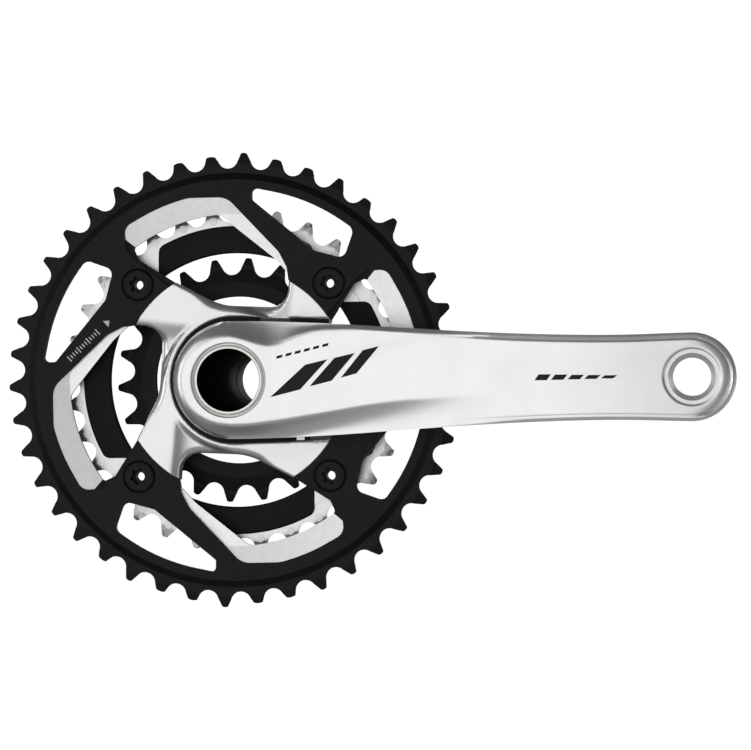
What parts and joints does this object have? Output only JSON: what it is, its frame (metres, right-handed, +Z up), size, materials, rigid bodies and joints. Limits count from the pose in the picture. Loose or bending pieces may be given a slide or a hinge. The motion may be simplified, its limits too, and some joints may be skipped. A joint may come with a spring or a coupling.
{
  "type": "bicycle crankset",
  "caption": "Drive-side bicycle crank with three chainrings on a four-armed spider, a hollow axle and the outboard-bearing bottom bracket it turns in.",
  "frame": {"origin": "on the axle's centre line, at the frame's centre plane between the bearings", "axes": "+Z up; +X along the crank arm; the axle lies along Y, drive side towards -Y"},
  "size_m": [0.2787, 0.15, 0.174],
  "materials": {
    "crank_arm": "satin silver",
    "spider": "satin silver",
    "axle": "nickel-plated, bright",
    "outer_chainring": "black anodised, machined bands",
    "shift_pins": "bare steel",
    "drop_pin": "bare steel",
    "middle_chainring": "bead-blasted steel",
    "carrier": "black moulded composite",
    "middle_pins": "bare steel",
    "inner_chainring": "black anodised",
    "ring_bolts": "black, satin",
    "ring_nuts": "black, satin",
    "inner_bolts": "plated",
    "bearing_sleeves": "black nylon",
    "bearing_steel": "ground steel",
    "ball_cages": "nylon",
    "rubber_seals": "black rubber",
    "cups": "grey anodised",
    "centre_sleeve": "black moulded plastic",
    "shell_spacer": "black plastic"
  },
  "bodies": {
    "bottom_bracket": {"right_cup": "cups", "left_cup": "cups", "centre_sleeve": "centre_sleeve", "sleeve_seals": "rubber_seals", "shell_spacer": "shell_spacer", "right_outer_race": "bearing_steel", "left_outer_race": "bearing_steel", "right_bearing_seals": "rubber_seals", "left_bearing_seals": "rubber_seals"},
    "crank": {"crank_arm": "crank_arm", "spider": "spider", "axle": "axle", "outer_chainring": "outer_chainring", "outer_ring_shift_pins": "shift_pins", "chain_drop_pin": "drop_pin", "middle_chainring": "middle_chainring", "middle_ring_carrier": "carrier", "middle_ring_pins": "middle_pins", "inner_chainring": "inner_chainring", "outer_ring_bolts": "ring_bolts", "outer_ring_nuts": "ring_nuts", "inner_ring_bolts": "inner_bolts", "right_bearing_sleeve": "bearing_sleeves", "left_bearing_sleeve": "bearing_sleeves", "right_inner_race": "bearing_steel", "left_inner_race": "bearing_steel"},
    "right_cage": {"right_ball_cage": "ball_cages", "right_balls": "bearing_steel"},
    "left_cage": {"left_ball_cage": "ball_cages", "left_balls": "bearing_steel"}
  },
  "joints": [
    {"name": "crank_spin", "type": "hinge", "parent": "bottom_bracket", "child": "crank", "pos_m": [0, 0, 0], "axis": [0, 1, 0], "continuous": true},
    {"name": "right_bearing_spin", "type": "hinge", "parent": "bottom_bracket", "child": "right_cage", "pos_m": [0, -0.0445, 0], "axis": [0, 1, 0], "continuous": true},
    {"name": "left_bearing_spin", "type": "hinge", "parent": "bottom_bracket", "child": "left_cage", "pos_m": [0, 0.042, 0], "axis": [0, 1, 0], "continuous": true}
  ],
  "couplings": [
    {"joint": "right_bearing_spin", "follows": "crank_spin", "ratio": 0.44839},
    {"joint": "left_bearing_spin", "follows": "crank_spin", "ratio": 0.44839}
  ]
}
